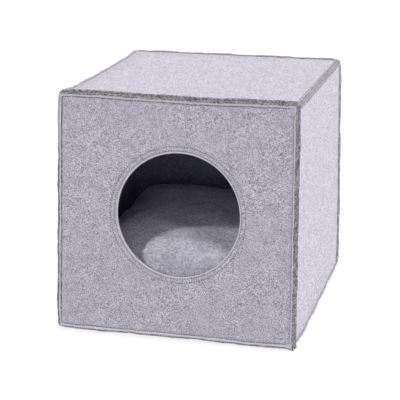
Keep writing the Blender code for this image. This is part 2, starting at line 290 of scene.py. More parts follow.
def off_seam(lean, up, out):
    """Distances along the other panel's normal and along this panel's own, of a point so far up and out of a fin."""
    return up * np.cos(lean) - out * np.sin(lean), up * np.sin(lean) + out * np.cos(lean)


def fin_profile(at, own):
    """Rows of one panel's fin, from its crease over the cut end to the inner bend: (rows, 2, points) of off_seam.

    Each row is listed by how far up the fin it lies, and how far out from the middle of the seam.
    """
    lean, along = at["lean"], at["along"]
    foot = crease_foot(lean)
    reach = at["reach"] + LAYER_STEP * waves(along, own, (0.052, 0.0231, 0.0097))
    free = np.maximum(reach - foot, FREE_FIN)
    scale = np.minimum(1.0, free / FULL_FIN)
    tip = HIDDEN + FELT * at["squeeze"]
    rough = RAGGED * waves(along, own * 2.1, (0.0121, 0.0073, 0.0164))
    rough_b = RAGGED * waves(along, own * 3.7, (0.0093, 0.0067, 0.0139))
    rows = [
        (foot + 0.00045 * scale, OUTER - 0.55 * CREASE_DEPTH * scale),
        (foot + 0.0011 * scale, OUTER - 0.12 * CREASE_DEPTH * scale),
        (foot + 0.5 * free, OUTER + (tip - OUTER) * 0.5 + 0.00010),
        (foot + free - 0.0010 * scale, OUTER + (tip - OUTER) * 0.9 + 0.00008 + 0.3 * rough),
        (foot + free - 0.00035 * scale, tip - 0.00012 + 0.5 * rough),
        (foot + free + 0.00002, tip - 0.00050 + 0.5 * rough_b),
        (foot + free + 0.00026 + rough, HIDDEN + (tip - HIDDEN) * 0.68),
        (foot + free + 0.00024 + rough_b, HIDDEN + (tip - HIDDEN) * 0.34),
        (foot + free + 0.00004, HIDDEN + 0.00045),
        (foot + free - 0.00045 * scale, HIDDEN + 0.00006),
        (foot + 0.5 * free, HIDDEN),
        (0.5 * foot, HIDDEN),
    ]
    return np.array([off_seam(lean, up, out) for up, out in rows])


# For each row of a fin: how much is cut felt, lies in the crease, gets painted light, and how its edge gets painted
# shade.
FIN_CUT = (0, 0, 0, 0.12, 0.75, 1, 1, 1, 1, 0.8, 0.2, 0)
FIN_CREASE = (0.8, 0.3, 0, 0, 0, 0, 0, 0, 0.2, 0.6, 1, 1)
FIN_PAINTED_LIGHT = (0.6, 1, 1, 0.8, 0.3, 0, 0, 0, 0, 0, 0, 0)
FIN_BORDER = (0, 0, 0, 0.35, 0.6, 0.35, 0, 0, 0, 0, 0, 0)
PUSHED_BORDER = (0, 0, 0.25, 1.1, 1.3, 0.9, 0.15, 0, 0, 0, 0, 0)
FIN_SHADE = (0.5, 0.5, 0.5, 0.5, 0.5, 0.3, 0, 0, 0, 0, 0, 0)


def cut_share(face, side, share):
    """How dark the raw ends of a seam are. Cut felt is darker than its skin; the ends of seams away from the front,
    and of the front's bottom seam, are painted lighter, as painted light where they catch more light.
    """
    if "front" in (face, side):
        if "left" in (face, side):
            return 1.0 - LEFT_PALE * float(ease((share - LEFT_PALE_FROM) / LEFT_PALE_OVER))
        return 0.72 if "bottom" in (face, side) else 1.0
    return 0.85 if "back" in (face, side) else 0.62


def fin_creases(face, side):
    """Painted shade on one seam's fin, row by row: in its crease, and for some seams along the edge of its cut end.
    """
    rows = crease_share(face, side) * np.array(FIN_CREASE)
    if (face, side) == ("right", "back"):
        return np.maximum(rows, FIN_SHADE)
    if "front" in (face, side):
        return rows
    if {face, side} == set(PUSHED_EDGE):
        rows[8:] = 0.0              # no painted shade past the cut end
        return np.maximum(rows, PUSHED_BORDER)
    return np.maximum(rows, 0.5 * np.array(FIN_BORDER))


def fin_pressed(face, side):
    return (1.0 if "front" in (face, side) else 0.15) * np.array(FIN_PAINTED_LIGHT)


def crease_share(face, side):
    """How dark the painted shade in the bottom of a seam's crease is."""
    if "front" in (face, side):
        return {"top": 0.9, "left": 1.0, "right": 0.15, "bottom": 0.22}[side if face == "front" else face]
    if {face, side} == set(PUSHED_EDGE):
        return 0.1
    return 0.9 if "back" in (face, side) else 0.6


class Panel:
    """Lays out one panel: where its sheet lies, and where its seams are."""

    def __init__(self, face):
        self.face = face
        self.normal = NORMAL[face]
        self.own = 1.9 * (list(NORMAL).index(face) + 1)
        (self.low_u, self.high_u), (self.low_v, self.high_v) = PANEL_SIDES[face]
        self.corner = {(i, j): signs_of(face, (self.low_u, self.high_u)[i], (self.low_v, self.high_v)[j])
                       for i in (0, 1) for j in (0, 1)}
        at = {k: inner_corner(c) for k, c in self.corner.items()}
        self.width = np.linalg.norm(at[1, 0] - at[0, 0])
        self.height = np.linalg.norm(at[0, 1] - at[0, 0])
        self.at = at

    def seam(self, side, share):
        if side in (self.low_v, self.high_v):
            j = int(side == self.high_v)
            return seam(self.face, side, share, self.corner[0, j], self.corner[1, j])
        i = int(side == self.high_u)
        return seam(self.face, side, share, self.corner[i, 0], self.corner[i, 1])

    def setback(self, side, share, skin):
        """How far the sheet's crease lies inside its seam, in the sheet's own plane."""
        lean = self.seam(side, share)["lean"]
        if skin == "inner":
            return HIDDEN / np.sin(lean)
        return OUTER * np.sin(lean) - crease_foot(lean) * np.cos(lean)

    def shares(self, xi, eta, skin):
        """Shares of the whole panel at shares of one skin."""
        shape = xi.shape
        low, high, bottom, top = (
            self.setback(side, share.ravel(), skin).reshape(shape) / size
            for side, share, size in ((self.low_u, eta, self.width), (self.high_u, eta, self.width),
                                      (self.low_v, xi, self.height), (self.high_v, xi, self.height)))
        return low + xi * (1 - low - high), bottom + eta * (1 - bottom - top)

    def sheet(self, u, v):
        """Plane of the seams, at any shares of the panel."""
        shape = u.shape
        u, v = u.ravel(), v.ravel()

        def between(low, high, along, across):
            return (self.seam(low, along)["base"] * (1 - across)[:, None]
                    + self.seam(high, along)["base"] * across[:, None])

        rows = between(self.low_v, self.high_v, u, v)
        columns = between(self.low_u, self.high_u, v, u)
        flat = (self.at[0, 0] * ((1 - u) * (1 - v))[:, None] + self.at[1, 0] * (u * (1 - v))[:, None]
                + self.at[0, 1] * ((1 - u) * v)[:, None] + self.at[1, 1] * (u * v)[:, None])
        return (rows + columns - flat).reshape(shape + (3,))

    def stand_off(self, u, v):
        """How far the sheet stands off that plane, outward."""
        across, up = 2 * u - 1, 2 * v - 1
        if self.face == "bottom":
            to_side = (1 - np.abs(across)) * self.width / 2
            to_end = (1 - np.abs(up)) * self.height / 2
            along = np.where(to_side < to_end, up, across)
            slope = FLOOR_SLOPE * (1 + FLOOR_SLOPE_GROWTH * (1 - along ** 2))
            return (INNER["floor"] - FELT - FLOOR_LEVEL) * ease(np.minimum(to_side, to_end) / slope)
        middle = np.clip((1 - across ** 2) * (1 - up ** 2), 0, 1)
        wave = sum(weight * np.sin(a * u + b * v + phase * self.own)
                   for a, b, phase, weight in PANEL_WAVES) / PANEL_WAVES_SUM
        return -PANEL_SAG[self.face] * middle + PANEL_WAVE * wave * np.sqrt(middle)

    def skin(self, u, v, thickness):
        return self.sheet(u, v) + self.normal * (self.stand_off(u, v) + thickness)[..., None]

    def fin_rows(self, columns):
        """The fin's rows round the whole panel. columns: (side, share, other side at a corner or None)."""
        count = len(columns)
        points, levels = np.zeros((len(FIN_CUT), count, 3)), np.zeros((len(FIN_CUT), count))
        weight = np.zeros(count)
        for side in PANEL_SIDES[self.face][0] + PANEL_SIDES[self.face][1]:
            picked = [(k, share if s == side else (0.0 if self.is_low(s) else 1.0))
                      for k, (s, share, corner) in enumerate(columns) if side in (s, corner)]
            index = np.array([k for k, _ in picked])
            share = np.array([x for _, x in picked])
            at = self.seam(side, share)
            profile = fin_profile(at, self.own + 0.37 * at["phase"])
            points[:, index] += NORMAL[side] * profile[:, 0, :, None]
            levels[:, index] += profile[:, 1]
            points[:, index] += at["base"]
            weight[index] += 1
        # At a corner both seams were added, and so the corner itself once too often.
        points[:, weight > 1] -= np.array([inner_corner(signs_of(self.face, side, corner))
                                           for side, _, corner in columns if corner])
        return points + self.normal * (levels / weight)[..., None]

    def is_low(self, side):
        return side in (self.low_u, self.low_v)


def bell(distance, width):
    """1 at no distance, and falling off over a width."""
    return np.exp(-(np.asarray(distance) / width) ** 2)


def crease_fall(distance):
    """Depth of the stitched crease at a distance from it."""
    return CREASE_DEPTH * bell(distance, CREASE_WIDTH)


def lines(length):
    """Shares of the sheet's lines along one side: close together beside the creases."""
    last = CREASE_LINES[-1]
    cells = int(round((length - 2 * last) / CELL))
    middle = np.linspace(last, length - last, cells + 1)[1:-1]
    return np.concatenate([CREASE_LINES, middle, length - np.array(CREASE_LINES[::-1])]) / length


def linked(name, data):
    """A new object in the scene."""
    item = bpy.data.objects.new(name, data)
    bpy.context.scene.collection.objects.link(item)
    return item


def object_from(name, points, faces, marks=None):
    points = np.array(points)
    points[:, 2] = np.maximum(points[:, 2], LOWEST)
    mesh = bpy.data.meshes.new(name)
    mesh.from_pydata(points.tolist(), [], faces)
    mesh.validate()
    for mark, values in (marks or {}).items():
        attribute = mesh.attributes.new(mark, "FLOAT", "POINT")
        attribute.data.foreach_set("value", np.asarray(values, np.float32))
    mesh.shade_smooth()
    return linked(name, mesh)


def strips(rows):
    """Quads between each closed row of vertex numbers and the next."""
    n = len(rows[0])
    return [(b[k], b[(k + 1) % n], a[(k + 1) % n], a[k]) for a, b in zip(rows, rows[1:]) for k in range(n)]


def numbered(count, columns, start=0):
    """Rows of vertex numbers."""
    return (start + np.arange(count).reshape(-1, columns)).tolist()


def square_panel(face):
    """One uncut panel: outer skin, fins, inner skin."""
    panel = Panel(face)
    us, vs = lines(panel.width), lines(panel.height)
    nu, nv = len(us), len(vs)
    xi, eta = np.meshgrid(us, vs, indexing="ij")
    numbers = np.arange(nu * nv).reshape(nu, nv)

    skins = {}
    for skin, thickness in (("outer", FELT), ("inner", 0.0)):
        u, v = (np.clip(share, 0, 1) for share in panel.shares(xi, eta, skin))
        skins[skin] = panel.skin(u, v, thickness)
    side_gap = np.minimum(us, 1 - us) * panel.width
    end_gap = np.minimum(vs, 1 - vs) * panel.height
    fall = np.maximum(crease_fall(side_gap)[:, None], crease_fall(end_gap)[None, :])
    skins["outer"] -= panel.normal * fall[..., None]

    rim = ([(i, 0) for i in range(nu - 1)] + [(nu - 1, j) for j in range(nv - 1)]
           + [(i, nv - 1) for i in range(nu - 1, 0, -1)] + [(0, j) for j in range(nv - 1, 0, -1)])
    columns = []
    for i, j in rim:
        touched = []
        if i in (0, nu - 1):
            touched.append((panel.low_u if i == 0 else panel.high_u, vs[j]))
        if j in (0, nv - 1):
            touched.append((panel.low_v if j == 0 else panel.high_v, us[i]))
        (side, share), corner = touched[0], touched[1][0] if len(touched) == 2 else None
        columns.append((side, share, corner))
    fins = panel.fin_rows(columns)

    outer_count, fin_count = nu * nv, len(fins) * len(rim)
    inner_start = outer_count + fin_count
    quads = np.stack([numbers[:-1, :-1], numbers[1:, :-1], numbers[1:, 1:], numbers[:-1, 1:]], 2).reshape(-1, 4)
    faces = np.stack([quads, inner_start + quads[:, ::-1]], 1).reshape(-1, 4).tolist()
    outer_rim = [int(numbers[k]) for k in rim]
    inner_rim = [inner_start + n for n in outer_rim]
    faces += strips([outer_rim, *numbered(fin_count, len(rim), outer_count), inner_rim])
    points = np.concatenate([skins["outer"].reshape(-1, 3), fins.reshape(-1, 3), skins["inner"].reshape(-1, 3)])
    flat = np.zeros(outer_count)
    gap = np.minimum(side_gap[:, None], end_gap[None, :])
    dark, soft, front_seam_light = (np.zeros((nu, nv)) for _ in range(3))
    for side, away in ((panel.low_u, us[:, None] * panel.width), (panel.high_u, (1 - us[:, None]) * panel.width),
                       (panel.low_v, vs[None, :] * panel.height), (panel.high_v, (1 - vs[None, :]) * panel.height)):
        # Painted shade beside each crease.
        dark = np.maximum(dark, crease_share(face, side) * bell(away, CREASE_SHADE_WIDTH))
        # Painted shade beside the EDGE_SHADED seams.
        if side in EDGE_SHADED:
            soft = np.maximum(soft, EDGE_SHADE * bell(away, EDGE_SHADE_WIDTH))
        # Painted light beside the seams with the front panel.
        if side == "front":
            front_seam_light = front_seam_light + FRONT_SEAM_LIGHT * bell(away, FRONT_SEAM_LIGHT_WIDTH)
    dark = np.maximum(dark, soft)
    # Painted light right beside every crease.
    pressed = np.maximum(CREASE_LIGHT * bell(gap, CREASE_LIGHT_WIDTH), front_seam_light)

    def mark(outside, fin, inside=flat):
        return np.concatenate([outside.ravel(), fin.ravel(), inside])

    marks = {
        "cut": mark(flat, np.outer(FIN_CUT, [cut_share(face, *c[:2]) for c in columns])),
        "crease": mark(dark, np.stack([fin_creases(face, c[0]) for c in columns], 1)),
        "pressed": mark(pressed, np.stack([fin_pressed(face, c[0]) for c in columns], 1)),
        "inside": mark(flat, np.zeros(fin_count), flat + 1),
        "flecked": np.full(len(points), FLECKED.get(face, 0.0)),
    }
    return object_from("felt_" + face, points, faces, marks)


def entry_outline(turn):
    radius = ENTRY_RADIUS + ENTRY_OVAL * np.cos(2 * (turn - ENTRY_OVAL_TURN))
    return ENTRY_X + RECENTRE[0] + radius * np.cos(turn), ENTRY_Z + RECENTRE[2] + radius * np.sin(turn)


def shares_at(panel, x, z):
    """Shares of the front panel under a point seen from the front."""
    u, v = np.full(x.shape, 0.5), np.full(x.shape, 0.5)
    for _ in range(12):
        at = panel.sheet(u, v)
        u = u + (x - at[..., 0]) / panel.width
        v = v + (z - at[..., 2]) / panel.height
    return u, v


def front_columns(panel):
    """Turns of the front panel's columns, evened out so that one column meets each corner of the panel."""
    centre = np.array([ENTRY_X, ENTRY_Z]) + RECENTRE[[0, 2]]
    order = [(1, 0), (1, 1), (0, 1), (0, 0)]
    sides = [panel.high_u, panel.high_v, panel.low_u, panel.low_v]
    turns = [math.atan2(panel.at[key][2] - centre[1], panel.at[key][0] - centre[0]) for key in order]
    columns, all_turns = [], []
    for n in range(4):
        start, end = turns[n], turns[(n + 1) % 4]
        if end < start:
            end += 2 * math.pi
        count = int(round(ENTRY_COLUMNS * (end - start) / (2 * math.pi)))
        a, b = panel.at[order[n]], panel.at[order[(n + 1) % 4]]
        for k in range(count):
            turn = start + (end - start) * k / count
            # Where the ray from the entry's middle meets this side's straight line.
            ray = np.array([math.cos(turn), math.sin(turn)])
            edge = (b - a)[[0, 2]]
            offset = a[[0, 2]] - centre
            share = (offset[0] * ray[1] - offset[1] * ray[0]) / (edge[1] * ray[0] - edge[0] * ray[1])
            share = min(max(share, 0.0), 1.0)
            if sides[n] in (panel.low_u, panel.high_v):
                share = 1 - share
            corner = sides[n - 1] if k == 0 else None
            columns.append((sides[n], share, corner))
            all_turns.append(turn)
    return columns, np.array(all_turns)


def ring_offsets(turns):
    return [mean + more * np.cos(turns) for mean, more in RING_OFFSETS]


def front_panel():
    panel = Panel("front")
    columns, turns = front_columns(panel)
    count = len(columns)
    hole_x, hole_z = entry_outline(turns)
    hole_u, hole_v = shares_at(panel, hole_x, hole_z)

    def border(skin):
        place = np.zeros((2, count))        # across, up
        for k, (side, share, corner) in enumerate(columns):
            place[:, k] = share
            for s in filter(None, (side, corner)):
                place[int(s in (panel.low_v, panel.high_v)), k] = float(s in (panel.high_u, panel.high_v))
        return panel.shares(*place, skin)

    def row(skin, near, share):
        """One row: `near` metres from the entry, plus a share of the way to the crease."""
        edge_u, edge_v = border(skin)
        span = np.hypot((edge_u - hole_u) * panel.width, (edge_v - hole_v) * panel.height)
        t = (near + share * span) / span
        u, v = hole_u + (edge_u - hole_u) * t, hole_v + (edge_v - hole_v) * t
        return u, v, t * span, (1 - t) * span

    points, marks = [], {name: [] for name in ("cut", "crease", "pressed", "ring", "inside")}

    def add(position, **shares):
        points.append(position)
        for name, values in marks.items():
            values.append(np.broadcast_to(shares.get(name, 0.0), (count,)).astype(float))

    raw = np.array([cut_share("front", side, share) for side, share, _ in columns])
    # Painted shade in and beside each side's crease.
    shaded = np.array([crease_share("front", side) for side, _, _ in columns])
    crease_shade_width = np.array([LEFT_CREASE_SHADE_WIDTH if side == "left" else CREASE_SHADE_WIDTH for side, _, _ in columns])
    stitch_turn = turns * RING_STITCHES

    def ring_fall(from_entry):
        total = np.zeros(count)
        for n, offset in enumerate(ring_offsets(turns)):
            beat = 0.55 + 0.45 * np.cos(stitch_turn + RING_SHIFT * n)
            total = total + RING_DEPTH * beat * bell(from_entry - offset, RING_WIDTH)
        return total

    # Outer skin, from the entry outward.
    last_near, last_far = NEAR_ENTRY[-1], CREASE_LINES[-1]
    middle = [(last_near * (1 - f) - last_far * f, f) for f in (k / OUTER_STEPS for k in range(1, OUTER_STEPS))]
    outer_rows = ([(d, 0.0) for d in NEAR_ENTRY] + middle + [(-d, 1.0) for d in CREASE_LINES[::-1]])
    for near, share in outer_rows:
        u, v, from_entry, to_crease = row("outer", near, share)
        fall = crease_fall(to_crease) + ring_fall(from_entry)
        fall = fall + EDGE_DROP * bell(from_entry, EDGE_DROP_WIDTH)
        # Painted light beside the crease, at the entry's cut edge and between its rings of stitches.
        lightening = (FRONT_CREASE_LIGHT * bell(to_crease, CREASE_LIGHT_WIDTH) + RIM_HIGHLIGHT * bell(from_entry, RIM_WIDTH)
                     + RINGS_LIGHT * bell(from_entry - RINGS_MIDDLE, RINGS_WIDTH))
        add(panel.skin(u, v, FELT) - panel.normal * fall[:, None], crease=shaded * bell(to_crease, crease_shade_width),
            pressed=lightening, ring=ring_fall(from_entry) / RING_DEPTH)
    for n, fin in enumerate(panel.fin_rows(columns)):
        add(fin, cut=FIN_CUT[n] * raw, crease=FIN_CREASE[n] * shaded, pressed=FIN_PAINTED_LIGHT[n])
    # Inner skin, back to the entry.
    inner_rows = [(0.0, 1.0), (-INNER_MARGIN, 1.0)]
    inner_rows += [(last_near * (1 - f) - INNER_MARGIN * f, f)
                   for f in (k / INNER_STEPS for k in range(INNER_STEPS - 1, 0, -1))]
    inner_rows += [(d, 0.0) for d in NEAR_ENTRY_INSIDE]
    for near, share in inner_rows:
        u, v, from_entry, _ = row("inner", near, share)
        lift = EDGE_LIFT * bell(from_entry, EDGE_LIFT_WIDTH) * (share == 0.0)
        add(panel.skin(u, v, 0.0) + panel.normal * lift[:, None], inside=1.0)
    # Cut wall of the entry.
    along = turns * ENTRY_RADIUS
    u, v, _, _ = row("outer", 0.0, 0.0)
    inward = np.stack([-np.cos(turns), 0 * turns, -np.sin(turns)], 1)
    for n, depth in enumerate(WALL_DEPTHS):
        rough = WALL_ROUGH * waves(along, 1.1 + n, (0.0087, 0.0053, 0.0141))
        # Painted light on the whole wall, and painted shade on its inner half.
        dark, shaded = (0.4, 0.0) if n > 1 else (1.0, 0.9)
        add(panel.skin(u, v, depth) + inward * (WALL_ROUGH + rough)[:, None], cut=dark, crease=shaded, pressed=0.5)

    rows = numbered(len(points) * count, count)
    marks = {name: np.concatenate(values) for name, values in marks.items()}
    return object_from("felt_front", np.concatenate(points), strips(rows + rows[:1]), marks)


# ---------------------------------------------------------------- stitching


def threads(name, starts, ends, ups, thickness, sink):
    """Short lengths of thread lying on the felt, each going in at both ends."""
    sides, rings = 6, 5             # of each length
    starts, ends, ups = (np.concatenate(a) for a in (starts, ends, ups))
    forward = ends - starts
    forward /= np.linalg.norm(forward, axis=1)[:, None]
    across = np.cross(forward, ups)
    across /= np.linalg.norm(across, axis=1)[:, None]
    up = np.cross(across, forward)
    points, faces = [], []
    count = len(starts)
    for r in range(rings):
        t = r / (rings - 1)
        girth = thickness / 2 * (0.55 + 0.45 * math.sin(math.pi * t))
        centre = starts + (ends - starts) * t - up * sink * (2 * t - 1) ** 2
        for s in range(sides):
            turn = 2 * math.pi * s / sides
            points.append(centre + across * girth * math.cos(turn) + up * girth * math.sin(turn))
    points = np.stack(points, 1).reshape(-1, 3)
    per = rings * sides
    for n in range(count):
        base = n * per
        for r in range(rings - 1):
            for s in range(sides):
                a, b = base + r * sides + s, base + r * sides + (s + 1) % sides
                faces.append((a, a + sides, b + sides, b))
        faces.append(tuple(base + s for s in range(sides)))
        faces.append(tuple(base + (rings - 1) * sides + s for s in reversed(range(sides))))
    return object_from(name, points, faces)


def seam_stitches():
    starts, ends, ups = [], [], []
    for face, sides in PANEL_SIDES.items():
        panel = Panel(face)
        for side in sides[0] + sides[1]:
            length = panel.seam(side, np.array([0.5]))["length"]
            count = int((length - SEAM_ENDS_BARE) / SEAM_STITCH)
            number, phase = np.arange(count), edge_phase(face, side)
            # Hand-guided: places and lengths vary a little.
            middles = length / 2 + (number - (count - 1) / 2) * SEAM_STITCH
            middles = middles + 0.0003 * np.sin(number * 2.4 + phase)
            half = SEAM_STITCH_SEEN / 2 * (1 + 0.12 * np.sin(number * 5.1 + phase))
            for sign, store in ((-1, starts), (+1, ends)):
                at = panel.seam(side, (middles + sign * half) / length)
                # In the crease, and a little askew.
                up = crease_foot(at["lean"]) + 0.00012 + sign * 0.00016
                x, y = off_seam(at["lean"], up, OUTER - CREASE_DEPTH * 0.62)
                store.append(at["base"] + NORMAL[side] * x[:, None] + panel.normal * y[:, None])
            outward = panel.normal - NORMAL[side] * 0.6
            ups.append(np.tile(outward / np.linalg.norm(outward), (count, 1)))
    return threads("seam_thread", starts, ends, ups, SEAM_THREAD, SEAM_THREAD_SINK)


def ring_stitches():
    panel = Panel("front")
    starts, ends, ups = [], [], []
    number = np.arange(RING_STITCHES)
    for n in range(len(RING_OFFSETS)):
        middles = (2 * math.pi * number - RING_SHIFT * n + 0.25 * np.sin(number * 3.3)) / RING_STITCHES
        for sign, store in ((-1, starts), (+1, ends)):
            turn = middles + sign * RING_STITCH_SEEN / 2 / ENTRY_RADIUS
            offset = ring_offsets(turn)[n]
            x, z = entry_outline(turn)
            x, z = x + offset * np.cos(turn), z + offset * np.sin(turn)
            u, v = shares_at(panel, x, z)
            store.append(panel.skin(u, v, FELT - RING_DEPTH * 0.70))
        ups.append(np.tile(panel.normal, (RING_STITCHES, 1)))
    return threads("entry_thread", starts, ends, ups, RING_THREAD, RING_THREAD_SINK)


# ---------------------------------------------------------------- cushion

PUFF_START = 0.985              # the cushion is cut this much smaller before it is filled
PUFF_VOXEL = 0.0055
PUFF_PRESSURE = 4.0
PUFF_FRAMES = 20
PUFF_LIMIT = 0.010              # no point of it may move further
# Its top from u = v = -1 (left, front) to +1, as it has settled.
TOP_FROM, TOP_OVER = 0.05, 0.04             # unevenness starts this high up its side, and is full this much higher
SWELL_WAVES = ((9.0, 3.1, 0.4, 1.0), (4.2, -7.3, 1.9, 1.0), (11.0, 12.5, 2.7, 0.8))     # as PANEL_WAVES
SWELL_HEIGHT = 0.0018 / 2.8
BACK_LEFT_HEIGHT, BACK_RIGHT_MORE = 0.004, 0.014        # how far its back edge stands up
BACK_AT, BACK_WIDTH = 0.92, 0.20
LEFT_HEIGHT, LEFT_AT, LEFT_SIZE = 0.015, (-0.96, 0.1), (0.17, 0.5)
HOLLOW_DEPTH, HOLLOW_AT, HOLLOW_SIZE = 0.014, (0.053, -0.074), (0.042, 0.040)           # in metres
CUSHION_MARGIN, CUSHION_MARGIN_TOP = 0.0008, 0.006      # how far it may leave its solid's box


def filled_cushion():
    """A copy of the cushion's solid, blown up as cloth inside its own space."""
    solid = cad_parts["cushion"]
    mesh = solid.data.copy()
    item = linked("cushion_cover", mesh)
    low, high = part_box("cushion")
    middle = Vector(((low.x + high.x) / 2, (low.y + high.y) / 2, low.z + (high.z - low.z) * 0.40))
    mesh.transform(Matrix.Translation(middle) @ Matrix.Scale(PUFF_START, 4) @ Matrix.Translation(-middle))
    bpy.context.view_layer.objects.active = item
    remesh = item.modifiers.new("remesh", "REMESH")
    remesh.mode = "VOXEL"
    remesh.voxel_size = PUFF_VOXEL
    apply_modifier(item, remesh)
    before = coordinates(item)
    cloth = item.modifiers.new("cloth", "CLOTH")
    cloth.settings.use_pressure = True
    cloth.settings.uniform_pressure_force = PUFF_PRESSURE
    cloth.settings.effector_weights.gravity = 0.0
    cloth.settings.quality = 6
    cloth.settings.tension_stiffness = 12
    cloth.settings.bending_stiffness = 1.2
    for step in range(1, PUFF_FRAMES + 1):
        bpy.context.scene.frame_set(step)
    apply_modifier(item, cloth)
    bpy.context.scene.frame_set(1)
    move = coordinates(item) - before
    far = np.linalg.norm(move, axis=1)
    move *= np.minimum(1.0, PUFF_LIMIT / np.maximum(far, 1e-9))[:, None]
    settled = settle(before + move, low, high)
    item.data.vertices.foreach_set("co", settled.astype(np.float32).ravel())
    item.data.update()
    subdivide = item.modifiers.new("smooth", "SUBSURF")
    subdivide.levels = subdivide.render_levels = 1
    apply_modifier(item, subdivide)
    item.data.materials.clear()
    item.data.shade_smooth()
    return item


def settle(points, low, high):
    """Keeps the cushion in its solid's space, flat underneath, and lays soft unevenness over its top."""
    x, y, z = points.T
    u = (x - (low.x + high.x) / 2) / ((high.x - low.x) / 2)
    v = (y - (low.y + high.y) / 2) / ((high.y - low.y) / 2)

    def bump(along, across, at, size):
        return bell(along - at[0], size[0]) * bell(across - at[1], size[1])

    swell = SWELL_HEIGHT * sum(weight * np.sin(a * u + b * v + phase) for a, b, phase, weight in SWELL_WAVES)
    back = BACK_LEFT_HEIGHT + BACK_RIGHT_MORE * ease((u + 0.6) / 0.8)
    back = back * bell(v - BACK_AT, BACK_WIDTH) * ease((1 - np.abs(u)) / 0.2)
    left = LEFT_HEIGHT * bump(u, v, LEFT_AT, LEFT_SIZE)
    hollow = HOLLOW_DEPTH * bump(x, y, HOLLOW_AT, HOLLOW_SIZE)
    z = z + (swell + back + left - hollow) * ease((z - low.z - TOP_FROM) / TOP_OVER)
    x, y = (np.clip(values, a - CUSHION_MARGIN, b + CUSHION_MARGIN)
            for values, a, b in ((x, low.x, high.x), (y, low.y, high.y)))
    return np.stack([x, y, np.clip(z, low.z + LOWEST, high.z + CUSHION_MARGIN_TOP)], 1)


def coordinates(item):
    values = np.zeros(len(item.data.vertices) * 3, np.float32)
    item.data.vertices.foreach_get("co", values)
    return values.reshape(-1, 3).astype(float)


def apply_modifier(item, modifier):
    """Writes the modifier's result into the mesh."""
    graph = bpy.context.evaluated_depsgraph_get()
    made = bpy.data.meshes.new_from_object(item.evaluated_get(graph), depsgraph=graph)
    item.modifiers.remove(modifier)
    item.data = made


# ---------------------------------------------------------------- materials


class Nodes:
    """Small helper for building a material's node tree."""

    def __init__(self, name):
        self.material = bpy.data.materials.new(name)
        self.material.use_nodes = True
        self.tree = self.material.node_tree
        self.shader = self.tree.nodes["Principled BSDF"]

    def put(self, node, inputs):
        """Links or sets inputs of a node."""
        for key, value in inputs.items():
            if isinstance(value, bpy.types.NodeSocket):
                self.tree.links.new(value, node.inputs[key])
            else:
                node.inputs[key].default_value = value
        return node

    def new(self, kind, inputs, **settings):
        node = self.tree.nodes.new(kind)
        for key, value in settings.items():
            setattr(node, key, value)
        return self.put(node, inputs)

    def noise(self, vector, scale, detail=2.0, roughness=0.5, distortion=0.0):
        node = self.new("ShaderNodeTexNoise", {"Vector": vector, "Scale": scale, "Detail": detail,
                                               "Roughness": roughness, "Distortion": distortion})
        return node.outputs["Fac"]

    def math(self, operation, a, b, clamp=False):
        return self.new("ShaderNodeMath", {0: a, 1: b}, operation=operation, use_clamp=clamp).outputs[0]

    def vector(self, operation, inputs):
        return self.new("ShaderNodeVectorMath", inputs, operation=operation)

    def weighted(self, *pairs, middle=0.0, plus=None):
        """Sum of values, each less the middle and times its weight. With a constant added it is kept in 0 to 1."""
        total = None
        for value, weight in pairs:
            part = self.math("MULTIPLY", self.math("SUBTRACT", value, middle), weight)
            total = part if total is None else self.math("ADD", total, part)
        return total if plus is None else self.math("ADD", total, plus, clamp=True)

    def spread(self, value, low, high, to_low=0.0, to_high=1.0):
        node = self.new("ShaderNodeMapRange", {"Value": value, "From Min": low, "From Max": high,
                                               "To Min": to_low, "To Max": to_high})
        return node.outputs["Result"]

    def mix(self, share, a, b, blend="MIX"):
        return self.new("ShaderNodeMix", {0: share, 6: a, 7: b}, data_type="RGBA", blend_type=blend).outputs[2]

    def attribute(self, name):
        return self.new("ShaderNodeAttribute", {}, attribute_name=name).outputs["Fac"]

    def marked(self, name, strength, below, above):
        """Goes from one colour to another as far as a mark on the mesh says."""
        return self.mix(self.math("MULTIPLY", self.attribute(name), strength, clamp=True), below, above)

    def object_place(self):
        return self.new("ShaderNodeTexCoord", {}).outputs["Object"]

    def place(self, scale=(1, 1, 1), turn=(0, 0, 0), warp=None):
        """Object coordinates in metres, stretched and turned."""
        source = self.object_place()
        if warp is not None:
            source = self.vector("ADD", {0: source, 1: warp}).outputs[0]
        return self.new("ShaderNodeMapping", {"Vector": source, "Scale": scale, "Rotation": turn}).outputs[0]

    def surface(self, colour, relief, strength, depth, roughness, specular, sheen=0.0, sheen_roughness=0.5):
        """Fills in the shader and gives back the material. The relief is a bump of this strength and depth."""
        bump = self.new("ShaderNodeBump", {"Height": relief, "Strength": strength, "Distance": depth})
        self.put(self.shader, {
            "Base Color": colour, "Normal": bump.outputs["Normal"], "Roughness": roughness,
            "Specular IOR Level": specular, "Sheen Weight": sheen, "Sheen Roughness": sheen_roughness,
        })
        return self.material


def grey(value, tint=(1.0, 1.0, 1.0)):
    return (value * tint[0], value * tint[1], value * tint[2], 1.0)


LAVENDER = (0.975, 0.945, 1.10)
ROSE = (1.005, 0.945, 1.08)
FELT_DARK, FELT_MIDDLE, FELT_LIGHT = grey(0.155), grey(0.415), grey(0.70)
FELT_INSIDE = (0.93, 0.94, 1.16)            # tint that the bounced light has inside the box
# Colours of painted light, of painted shade, and of stitch holes with painted shade in their dimples.
FELT_PAINTED_LIGHT, FELT_PAINTED_SHADE, STITCH_HOLES_AND_SHADE = grey(0.58, LAVENDER), grey(0.09, LAVENDER), grey(0.16, LAVENDER)
RAW_DARK, RAW_LIGHT = grey(0.025, (1.0, 0.97, 1.06)), grey(0.34, (1.0, 0.985, 1.02))
COVER_DARK, COVER_LIGHT = grey(0.50, (0.97, 0.95, 1.14)), grey(1.0, (0.985, 0.965, 1.07))


